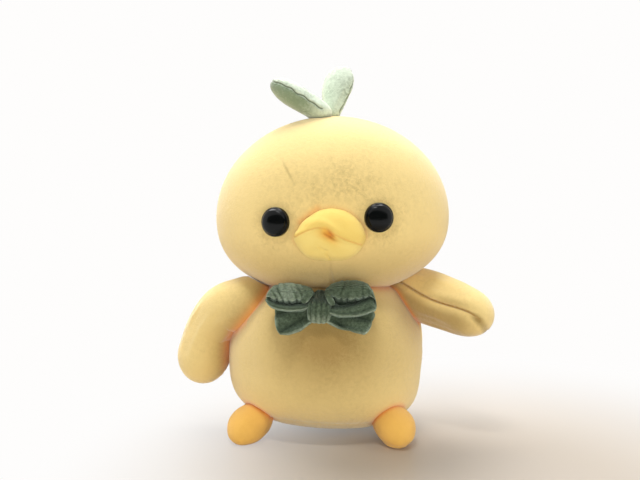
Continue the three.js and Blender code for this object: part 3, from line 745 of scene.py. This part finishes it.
# The upper lip a deeper orange, and painted shade below the middle of the mouth
note(beak, "darkening", np.maximum(0.5 * step(-1.5, 2.5, lip), hump(np.hypot(x, lip + 2), 5)))
# Painted warm shade in the crease where the beak meets the face
press_against(beak, head, gap=-0.2, reach=1.5, shade=0.5)
note_crease(head, beak, reach=1.6, shade=0.2)
x, y, z = own_points(head, HEAD_PLACE).T
# A painted warm glow on the face along the beak's upper left edge
note(head, "crease", 0.5 * (y < 0) * hump(off_line(x, z, (-15, -1), (-5, 6)), 2.5))
dress(beak, beak_plush, "beak_plush", "beak_upper_panel", "beak_lower_panel", "beak_stuffing", fill=0.7)
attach(beak, "head")

# Eyes
# The eyes are stock 18 mm safety eyes: polished black plastic domes with a thin rim, whose shanks pass
# through the face cloth into lock washers that sit out of sight inside the head.

black_plastic, tree, shader = new_material("black_plastic")
haze = ranged(tree, noise_on(tree, Scale=600, Detail=3), To_Min=0.14, To_Max=0.22)
set_inputs(tree, shader, Base_Color=dye(12, 14, 14), Specular_IOR_Level=0.2, Roughness=haze)
EYE_RADIUS, EYE_RISE, EYE_EDGE = 8.75, 5.2, 0.6


def eye_points(ball):
    """A shallow dome inside a thin rounded rim."""
    x, y, z = ball.T
    radius = np.hypot(x, y)
    groove = 0.35 * hump((radius - 0.88) * 9, 0.45)
    dome = EYE_RISE * np.sqrt(np.clip(1 - (radius / 1.02) ** 2, 0, 1)) + EYE_EDGE - groove
    height = np.where(z > 0, dome * np.minimum(1, 6 * z), -0.8 * np.sqrt(np.abs(z)))
    return np.column_stack([EYE_RADIUS * x, EYE_RADIUS * y, height])


for side, spot, out in (
    ("left", (24.808, -58.371, 138.424), (0.342147, -0.931171, 0.125918)),
    ("right", (-35.135, -58.689, 135.226), (-0.341847, -0.934811, 0.096276)),
):
    eye = round_blank(f"{side}_eye_dome", cuts=24)
    set_points(eye, eye_points(points_of(eye)))
    turn = Vector((0, 0, 1)).rotation_difference(Vector(out)).to_matrix().to_4x4()
    put(eye, Matrix.Translation(Vector(spot) * MM) @ turn)
    refine(eye, levels=1)
    eye.data.materials.append(black_plastic)
    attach(eye, "head")
    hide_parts(f"{side}_eye")

white_plastic, tree, shader = new_material("white_plastic")
flow = noise_on(tree, Scale=300, Detail=2)
set_inputs(tree, shader, Base_Color=mix_colours(tree, flow, dye(236, 236, 230), dye(220, 220, 212)))
for side in ("left", "right"):
    washer = frame["nodes"][f"{side}_eye_washer"]
    washer.data.materials.clear()
    washer.data.materials.append(white_plastic)

# Leaves
# Two flat padded leaves of mint plush are sewn to the crown, one behind the other. Each has two panels with a
# seam round its edge, drawn in by the thread so that it waves.

LEFT_LEAF = dict(line=((-1, 0, 6), (-1, 0, -4), (0, 0, -18), (1, 0, -36)),
                 half=((5, 4.5), (7, 5), (10.6, 5.8), (10.6, 5.8)), tip=15)
RIGHT_LEAF = dict(line=((0, 0, 7), (0, 0, -5), (0, 0, -20), (0, 0, -37.5)),
                  half=((8, 6), (9.5, 6.2), (11.5, 6.7), (10.5, 6.6)), tip=15)
# The leaves' mint, a darker green for mottles and for painted shade, and a painted shade for seams and
# creases
leaf_plush = plush("leaf_plush", dye(222, 234, 212), dye(138, 156, 126), dye(92, 102, 70))
left_leaf_place = (
    Matrix.Translation(hinge_of("left_leaf_flop")[0])
    @ HEAD_PLACE.to_3x3().to_4x4()
    @ Matrix.Rotation(radians(-28), 4, "X")
    @ Matrix.Rotation(radians(195), 4, "Y")
    @ Matrix.Rotation(radians(20), 4, "Z")
)
right_leaf_place = (
    Matrix.Translation(hinge_of("right_leaf_flop")[0])
    @ HEAD_PLACE.to_3x3().to_4x4()
    @ Matrix.Rotation(radians(123), 4, "Y")
    @ Matrix.Rotation(radians(77), 4, "Z")
)


def leaf_seam(x, y, z):
    """The thread draws the edge in, so that the seam waves."""
    return np.where(z < 0, y - 0.35 * np.sin(z / 1.3) - 0.25 * np.sin(z / 2.1 + 1), 99)


leaves = {}
for side, place, limb in (("left", left_leaf_place, LEFT_LEAF), ("right", right_leaf_place, RIGHT_LEAF)):
    leaf = leaves[side] = sewn_limb(f"sewn_{side}_leaf", place, limb, leaf_seam, cuts=18, swell=0.8)
    sculpt(leaf, place, lambda points, normals: sew(points, normals, leaf_seam(*points.T), points[:, 2],
                                                    depth=0.7, width=0.5, pucker=0.12, pitch=2.6))
    x, y, z = own_points(leaf, place).T
    # Painted shade in the seam's valley
    note(leaf, "crease", 0.9 * hump(leaf_seam(x, y, z), 0.5))
    note(leaf, "brushed", np.full(len(x), 0.7))
    if side == "right":
        # Painted shade over the lower leaf's underside
        note(leaf, "darkening", 0.85 * step(0.5, -1.5, y) * step(4, -16, z))
    else:
        # A little darker over the inner part of the leaf
        note(leaf, "darkening", 0.15 * hump(z + 8, 14))
    # Painted warm shade in the crease where the leaf meets the crown
    press_against(leaf, head, gap=-0.3, reach=2)
    note_crease(head, leaf, reach=1.2, shade=0.2)
    dress(leaf, leaf_plush, "leaf_plush", f"{side}_leaf_front_panel", f"{side}_leaf_back_panel",
          f"{side}_leaf_stuffing", fill=0.6)
    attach(leaf, f"{side}_leaf")
give_way(leaves["left"], leaves["right"], "right_leaf_flop", gap=0.2, angles=(12, 24, 35))

# Bow tie
# The bow is sage-green ribbed velvet: a strip folded into two loops whose top edge is rolled over and
# gathered, a second strip below whose ends hang as tails, and a ribbed band that pinches both and is sewn to
# the chest.

BOW_PLACE = (
    Matrix.Translation(Vector((-9.0, -64.923, 86.2)) * MM)
    @ BODY_PLACE.to_3x3().to_4x4()
    @ Matrix.Rotation(radians(-14), 4, "X")
)


def strip_blank(name, columns, sides):
    """A flat strip, whose two edges meet when it is rolled into a closed padded form."""
    bpy.ops.object.select_all(action="DESELECT")
    bpy.ops.mesh.primitive_grid_add(x_subdivisions=columns, y_subdivisions=sides, size=1)
    blank = bpy.context.object
    blank.name = blank.data.name = name
    bpy.ops.object.shade_smooth()
    return blank


def close_up(piece):
    """Joins the strip's two edges."""
    select_only(piece)
    bpy.ops.object.mode_set(mode="EDIT")
    bpy.ops.mesh.select_all(action="SELECT")
    bpy.ops.mesh.remove_doubles(threshold=0.00001)
    bpy.ops.mesh.normals_make_consistent(inside=False)
    bpy.ops.object.mode_set(mode="OBJECT")


def round_curve(turn, corners):
    """A closed smooth curve through each point's own corners, which have two coordinates."""
    count = corners.shape[1]
    spot = turn * count
    first = np.floor(spot).astype(int)
    part = (spot - first)[:, None]
    rows = np.arange(len(turn))
    a, b, c, d = (corners[rows, (first + k) % count] for k in (-1, 0, 1, 2))
    bend, twist = 2 * a - 5 * b + 4 * c - d, 3 * b - a - 3 * c + d
    return 0.5 * (2 * b + (c - a) * part + bend * part**2 + twist * part**3)


def section(*corners):
    """Corners of a closed section, a row for each point."""
    return np.stack([np.stack(corner, 1) for corner in corners], 1)


def rib(run):
    """Ribs with broad round tops and narrow valleys, from -1 to 0."""
    return np.abs(np.sin(pi * run)) ** 0.6 - 1


def paint_light_and_shade(piece, light_and_shade):
    """Painted light and shade on the velvet, kept as its rib attribute: how light it looks, from shaded
    valleys and hollows to lit tops and rims.
    """
    notes_on(piece, "rib")[0].data.foreach_set("value", light_and_shade.astype(np.float32))


def raise_ribs(piece, shaped, height, rise):
    """Lifts the ribs out of the cloth, whichever way its faces look."""
    normals = normals_of(piece)
    outward = np.sign(np.mean(np.sum(normals * (shaped - shaped.mean(0)), 1)))
    set_points(piece, shaped + normals * outward * (rise * height)[:, None])


def join_up(pieces, name):
    select_only(pieces[0])
    for piece in pieces:
        piece.select_set(True)
    bpy.ops.object.join()
    pieces[0].name = pieces[0].data.name = name
    return pieces[0]


ribbed_velvet, tree, shader = new_material("ribbed_velvet")
light_and_shade_mark = add_node(tree, "ShaderNodeAttribute", attribute_name="rib").outputs["Fac"]
# The painted light and shade runs from shaded valleys and hollows, through the velvet's own green at 0.55, to
# lit tops and rims
depth = add_node(tree, "ShaderNodeValToRGB", Fac=light_and_shade_mark)
depth.color_ramp.elements[0].color = dye(34, 44, 33)
depth.color_ramp.elements[1].color = dye(158, 172, 152)
depth.color_ramp.elements.new(0.55).color = dye(84, 98, 78)
nap = noise_on(tree, Scale=700, Detail=6, Roughness=0.8)
speckle = ranged(tree, nap, From_Min=0.4, From_Max=0.6, To_Min=0.6, To_Max=1.6)
velvet = mix_colours(tree, 0.9, depth.outputs["Color"], speckle, blend="MULTIPLY")
tips = noise_on(tree, Scale=1800, Detail=2)
bump = add_node(tree, "ShaderNodeBump", Strength=0.7, Distance=0.0008, Height=tips)
set_inputs(tree, shader, Base_Color=velvet, Normal=bump.outputs["Normal"], Roughness=0.9,
           Specular_IOR_Level=0.2, Sheen_Weight=0.8, Sheen_Roughness=0.4, Sheen_Tint=dye(200, 220, 200))

# Stations along each loop, out from the knot: the roll's top, its gathered lip, the edge of the layer that
# shows in the hollow below it, and that layer's rim
LOOPS = {
    "right": dict(x=(-3.5, -5.2, -10, -17.7, -24, -28.3, -31.8), top=(8.2, 10.4, 12.2, 13.2, 12.6, 10.4, 5.6),
                  lip=(7.4, 6.9, 3.6, 2.2, 2.6, 3.4, 3.6), edge=(3.0, 2.0, 0.4, -0.4, 0.2, 1.8, 2.8),
                  rim=(1.0, -1.5, -3.8, -4.6, -4.0, -2.6, 0.5)),
    "left": dict(x=(2.0, 5.6, 12, 21.1, 26.8, 30.4, 33.4), top=(9.2, 13.4, 16.0, 16.6, 15.4, 11.3, 3.6),
                 lip=(7.4, 6.6, 4.9, 5.6, 7.2, 7.4, 2.6), edge=(3.0, 1.0, 0.2, 2.4, 5.6, 7.0, 2.2),
                 rim=(1.0, -4.4, -6.2, -5.6, -4.2, -2.4, -1.0)),
}
# Shares of its length where a loop's two ends round off
LOOP_OPENS, LOOP_CLOSES = 0.04, 0.93


def rib_run(x, z, side):
    """Where a spot lies among the ribs of a roll, which slant and wander."""
    slant = x + (0.5 if side == "right" else -0.12) * z
    return (slant + 0.6 * np.sin(0.33 * x + 0.5 * z)) / 4.0


def shape_loop(points, side):
    """Rolls the strip round a section that changes along the loop, and rounds both its ends."""
    run, turn = points[:, 0] + 0.5, points[:, 1] + 0.5
    loop = LOOPS[side]
    way = np.linspace(0, 1, len(loop["x"]))
    x = eased(run, way, loop["x"])
    top, lip, edge, rim = (eased(run, way, loop[name]) for name in ("top", "lip", "edge", "rim"))
    lip = lip - 1.1 * (1 + rib(rib_run(x, lip, side))) * step(0.1, 0.3, run) * (1 - step(0.8, 0.95, run))
    spread = step(0, 0.3, run)
    front = 4.0 + 4.2 * spread - 2.0 * step(0.8, 1.0, run)
    hollow = 6.0 * step(0.05, 0.3, run) * (1 - step(0.72, 0.97, run))
    back = 1.0 + 3.0 * spread - 2.0 * step(0.8, 1.0, run)
    corners = section(
        (back, top - 3.0),
        (-0.25 * front, top),
        (-0.8 * front, 0.75 * top + 0.25 * lip),
        (-front, 0.45 * top + 0.55 * lip),
        (-front + 0.5, lip + 0.4),
        (-front + 1.8 + 0.3 * hollow, lip + 0.3),
        (-front + 1.6 + hollow, 0.5 * (lip + edge)),
        (-front + 1.9 + 0.35 * hollow, edge),
        (-front + 1.1, 0.45 * edge + 0.55 * rim),
        (-front + 0.6, rim + 0.7),
        (-0.45 * front, rim),
        (0.6 * back, rim + 1.5),
        (1.3 * back, 0.5 * (top + rim)),
    )
    yz = round_curve(turn, corners)
    centre = np.stack([-0.3 * front, 0.5 * (top + rim)], 1)
    closing = np.sqrt(np.clip(1 - ((run - LOOP_CLOSES) / (1 - LOOP_CLOSES)) ** 2, 0, 1))
    opening = np.sqrt(np.clip(1 - (1 - np.clip(run / LOOP_OPENS, 0, 1)) ** 2, 0, 1))
    yz = centre + (yz - centre) * np.where(run > LOOP_CLOSES, closing, opening)[:, None]
    return np.column_stack([x, yz])


# The turns round a section are counted in its corners
LOOP_CORNERS, TAIL_CORNERS = 13, 10
# Short pleats of the same strip, pinched in beside the knot
PLEATS = {
    "right": dict(line=((-4.4, -5.5, 8.0), (-7.2, -7.2, 4.6), (-9.9, -7.6, 0.8)),
                  half=((1.6, 1.4), (2.3, 1.3), (2.0, 1.2))),
    "left": dict(line=((3.6, -5.6, 7.4), (6.2, -7.2, 3.6), (8.6, -7.4, 0.2)),
                 half=((1.5, 1.2), (1.9, 1.2), (1.6, 1.0))),
}
loops = []
for side in ("right", "left"):
    loop = strip_blank(f"bow_loop_{side}", columns=150, sides=104)
    flat = points_of(loop)
    turn = (flat[:, 1] + 0.5) * LOOP_CORNERS
    shaped = shape_loop(flat, side)
    set_points(loop, shaped)
    on_roll = step(0.2, 0.8, turn) * (1 - step(4.9, 5.6, turn))
    on_layer = step(6.9, 7.5, turn) * (1 - step(10.0, 10.6, turn))
    run = flat[:, 0] + 0.5
    uneven = 0.6 + 0.4 * np.sin(0.5 * shaped[:, 0] + 1)
    height = on_roll * uneven * rib(rib_run(shaped[:, 0], shaped[:, 2], side))
    height = height + on_layer * rib((turn - 7.0) * 0.72)
    gather = (1 - step(0.1, 0.4, run)) * rib(turn * 0.9 + 0.2)
    height = np.minimum(height, 0.8 * gather * (on_roll + on_layer))
    # Painted light and shade: lighter rib tops and darker valleys, painted shade in the hollow under the
    # roll, painted highlights on the lip and the layer's rim, and painted sheen at the loop's end
    light_and_shade = 0.55 + 0.4 * height - 0.5 * step(4.8, 5.6, turn) * (1 - step(6.9, 8.0, turn))
    light_and_shade = light_and_shade + 0.3 * hump(turn - 9.4, 0.5) + 0.25 * hump(turn - 4.3, 0.4) + 0.2 * step(0.86, 1.0, run)
    # A painted sheen over the middle of this roll
    if side == "right":
        light_and_shade = light_and_shade + 0.22 * on_roll * hump(shaped[:, 0] + 20, 10)
    raise_ribs(loop, shaped, height, rise=0.55)
    paint_light_and_shade(loop, light_and_shade)
    put(loop, BOW_PLACE)
    close_up(loop)
    pleat = round_blank(f"bow_pleat_{side}", cuts=14)
    ball = points_of(pleat)
    set_points(pleat, limb_points(ball, **PLEATS[side], tip=2.5, inset=0))
    # The pleat's painted light and shade: lighter towards its edges
    paint_light_and_shade(pleat, 0.5 + 0.4 * np.abs(ball[:, 0]) ** 3)
    refine(pleat, levels=1)
    put(pleat, BOW_PLACE)
    loops += [loop, pleat]
bow_loops = join_up(loops, "bow_loop_strip")

TAILS = {
    "right": dict(end_top=-27.2, end_low=-24.0, top=(-1.0, -2.2, -2.4, -2.4),
                  low=(-8.8, -15.0, -18.0, -18.4)),
    "left": dict(end_top=34.0, end_low=28.8, top=(-2.0, -4.0, -3.0, -1.2), low=(-8.6, -12.8, -14.8, -15.8)),
}


def shape_tail(points, side):
    """Rolls the strip round a flat section that widens to the tail's slanting end."""
    run, turn = points[:, 0] + 0.5, points[:, 1] + 0.5
    tail = TAILS[side]
    way = np.linspace(0, 1, 4)
    top, low = eased(run, way, tail["top"]), eased(run, way, tail["low"])
    thick = 1.6 + 1.6 * step(0, 0.5, run)
    lean = -2.6 * step(0.1, 0.8, run)
    middle = 0.5 * (top + low)
    corners = section(
        (lean + 1.5, top - 1.0),
        (lean + 0.2, top),
        (lean - 0.5 * thick, 0.7 * top + 0.3 * low),
        (lean - 0.7 * thick, middle),
        (lean - 0.6 * thick, 0.3 * top + 0.7 * low),
        (lean - 1.0 * thick, low + 1.6),
        (lean - 0.5 * thick, low),
        (lean + 0.4 * thick, low + 0.5),
        (lean + 1.0 * thick, 0.3 * top + 0.7 * low),
        (lean + 1.2 * thick, middle),
    )
    yz = round_curve(turn, corners)
    centre = np.stack([lean + 0.2, middle], 1)
    blunt = np.sqrt(np.clip(1 - np.clip((run - 0.9) / 0.1, 0, 1) ** 2, 0, 1))
    yz = centre + (yz - centre) * np.column_stack([blunt, 0.25 + 0.75 * blunt])
    down = np.clip((yz[:, 1] - tail["top"][-1]) / (tail["low"][-1] - tail["top"][-1]), 0, 1)
    reach = tail["end_top"] + (tail["end_low"] - tail["end_top"]) * down
    start = 3.0 * np.sign(reach)
    return np.column_stack([start + (reach - start) * run, yz])


tails = []
for side in ("right", "left"):
    tail = strip_blank(f"bow_tail_{side}", columns=110, sides=90)
    flat = points_of(tail)
    shaped = shape_tail(flat, side)
    set_points(tail, shaped)
    fan = np.arctan2(shaped[:, 2] - 2, np.abs(shaped[:, 0]) + 4)
    height = rib(fan / 0.3 + 0.1 + 0.25 * np.sin(5 * fan)) * step(0.05, 0.3, flat[:, 0] + 0.5)
    turn = (flat[:, 1] + 0.5) * TAIL_CORNERS
    # Painted light and shade: lighter rib tops, a painted highlight on the lower rim and painted sheen at the
    # end
    light_and_shade = 0.5 + 0.45 * height + 0.35 * hump(turn - 5.6, 0.55) + 0.25 * step(0.88, 1.0, flat[:, 0] + 0.5)
    raise_ribs(tail, shaped, height, rise=0.9)
    paint_light_and_shade(tail, light_and_shade)
    put(tail, BOW_PLACE)
    close_up(tail)
    tails.append(tail)
bow_tails = join_up(tails, "bow_tail_strip")

bow_knot = round_blank("bow_knot_band", cuts=44)
KNOT_RISE, KNOT_FALL, KNOT_OUT = 10.8, 10.0, 8.4
KNOT_POWER = 3.0


def knot_half(z):
    return 7.9 - 2.6 * step(-1, 8, z)


def knot_points(ball):
    """The band bulges low down; at the top it narrows and falls back between the loops."""
    rise = np.hypot(ball[:, 1], ball[:, 2])
    reach = (np.abs(ball[:, 0]) ** KNOT_POWER + rise**KNOT_POWER) ** (-1 / KNOT_POWER)
    z = reach * ball[:, 2] * np.where(ball[:, 2] > 0, KNOT_RISE, KNOT_FALL)
    back = 4 * step(0, 10, z)
    x, y = reach * ball[:, 0] * knot_half(z), reach * ball[:, 1] * (KNOT_OUT - back) + back
    return np.column_stack([x, y, z])


set_points(bow_knot, knot_points(points_of(bow_knot)))
refine(bow_knot, levels=1)
shaped = points_of(bow_knot)
height = rib(shaped[:, 0] / knot_half(shaped[:, 2]) * 2.6 + 0.5)
# Painted shadow over the knot's top under the chin and loops, painted light lower down, and lighter rib tops
light_and_shade = 0.5 + 0.35 * height - 0.6 * step(-2, 6, shaped[:, 2]) + 0.3 * step(-3, -9, shaped[:, 2])
raise_ribs(bow_knot, shaped, height, rise=0.45)
paint_light_and_shade(bow_knot, light_and_shade)
put(bow_knot, BOW_PLACE)


def clear_note(piece, mark, mask):
    """Takes a note off the cloth again, as far as the mask says."""
    layer, held = notes_on(piece, mark)
    layer.data.foreach_set("value", (held * (1 - mask)).astype(np.float32))


for piece, node in ((bow_loops, "bow_loops"), (bow_tails, "bow_tails"), (bow_knot, "bow_knot")):
    press_against(piece, body, gap=0.3, reach=0.31)
    press_against(piece, head, gap=0.5, reach=0.51)
    for other in (body, head):
        # Painted shadow on the body and head round the bow, and the warm crease shade taken off under it
        note_crease(other, piece, reach=4.5, shade=0.85, mark="darkening")
        near = np.zeros(len(other.data.vertices))
        for i, off, spot, normal in nearness(other, piece, reach=14):
            near[i] = hump(max(off, 0), 7)
        clear_note(other, "crease", near)
    dress(piece, ribbed_velvet, "ribbed_velvet", node, fill=0.2)
    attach(piece, "torso")

# Floor, light and camera
# A pale floor, painted darker round the toy where its shadow falls, runs out into a white tent. Soft boxes
# stand above and behind, at both sides and at the camera, and a dark curtain hangs behind the camera so that
# the eyes stay black. Only the boxes above glint in them.

bpy.ops.object.select_all(action="DESELECT")
bpy.ops.mesh.primitive_plane_add(size=12)
floor = bpy.context.object
floor.name = "floor"
floor_paint, tree, shader = new_material("floor_paint")
set_inputs(tree, shader, Base_Color=dye(183, 172, 158), Roughness=0.4, Specular_IOR_Level=0.3)
TENT_WHITE = dye(254, 253, 252)
# The floor's darker paint fades into the tent's white round a middle set in front of the toy and to its
# right, so the floor is painted darker where the shadow falls, on top of the lamps' own shadow
FADE_MIDDLE, FADE_START, FADE_END = (0.085, -0.12, 0), 0.06, 0.255


def white_for_the_eye(tree):
    """1 where a ray is looked along, or mirrored, or let through, and 0 where it only lights something."""
    path = add_node(tree, "ShaderNodeLightPath").outputs
    mirrored = maths(tree, "MAXIMUM", path["Is Camera Ray"], path["Is Glossy Ray"])
    return maths(tree, "MAXIMUM", mirrored, path["Is Transmission Ray"])


far_off = add_node(tree, "ShaderNodeVectorMath", operation="DISTANCE")
feed(tree, far_off.inputs[0], add_node(tree, "ShaderNodeTexCoord").outputs["Object"])
feed(tree, far_off.inputs[1], FADE_MIDDLE)
fade = ranged(tree, far_off.outputs["Value"], interpolation_type="SMOOTHSTEP", From_Min=FADE_START,
              From_Max=FADE_END)
glow = add_node(tree, "ShaderNodeEmission", Color=TENT_WHITE, Strength=1.0)
both = add_node(tree, "ShaderNodeMixShader", Fac=maths(tree, "MULTIPLY", fade, white_for_the_eye(tree)))
feed(tree, both.inputs[1], shader.outputs["BSDF"])
feed(tree, both.inputs[2], glow.outputs["Emission"])
set_inputs(tree, tree.nodes["Material Output"], Surface=both.outputs["Shader"])
floor.data.materials.append(floor_paint)

dark_cloth, tree, shader = new_material("dark_cloth")
set_inputs(tree, shader, Base_Color=dye(26, 25, 24), Specular_IOR_Level=0)
bpy.ops.mesh.primitive_plane_add(size=1, location=(0, -1.6, 0.8), rotation=(radians(90), 0, 0))
curtain = bpy.context.object
curtain.name = "curtain"
curtain.scale = (9, 1.7, 1)
curtain.visible_camera = False
curtain.data.materials.append(dark_cloth)

world = bpy.data.worlds.new("tent")
bpy.context.scene.world = world
world.use_nodes = True
tree = world.node_tree
set_inputs(tree, tree.nodes["Background"], Color=TENT_WHITE, Strength=white_for_the_eye(tree))

CHEST = Vector((0, 0, 0.12))
for name, place, size, power in (
    ("back_box", (-0.15, 0.68, 1.25), (1.4, 0.9), 30),
    ("top_box", (-0.1, -0.38, 1.35), (0.42, 0.1), 6),
    ("left_box", (-1.5, 0.3, 0.45), (1.6, 1.6), 14.6),
    ("right_box", (1.5, 0.3, 0.45), (1.6, 1.6), 15.2),
    ("front_box", (0.1, -1.2, 0.16), (1.2, 0.5), 9.4),
):
    lamp = bpy.data.lights.new(name, "AREA")
    lamp.shape = "RECTANGLE"
    lamp.size, lamp.size_y = size
    lamp.energy = power
    box = bpy.data.objects.new(name, lamp)
    box.location = place
    box.rotation_euler = (CHEST - box.location).to_track_quat("-Z", "Y").to_euler()
    box.visible_glossy = name in ("back_box", "top_box")
    bpy.context.scene.collection.objects.link(box)

PHOTO_WIDTH, FOCAL_PIXELS, SENSOR_WIDTH = 640, 1129, 36
camera = bpy.data.cameras.new("camera")
camera.sensor_width = SENSOR_WIDTH
camera.lens = FOCAL_PIXELS / PHOTO_WIDTH * SENSOR_WIDTH
eye_point = bpy.data.objects.new("camera", camera)
aim, distance = Vector((-0.012, -0.020, 0.118)), 0.7
aside, above = radians(4), radians(10)
back = Vector((sin(aside) * cos(above), -cos(aside) * cos(above), sin(above)))
eye_point.location = aim + distance * back
eye_point.rotation_euler = (-back).to_track_quat("-Z", "Y").to_euler()
bpy.context.scene.collection.objects.link(eye_point)
bpy.context.scene.camera = eye_point
bpy.context.scene.view_settings.view_transform = "Standard"
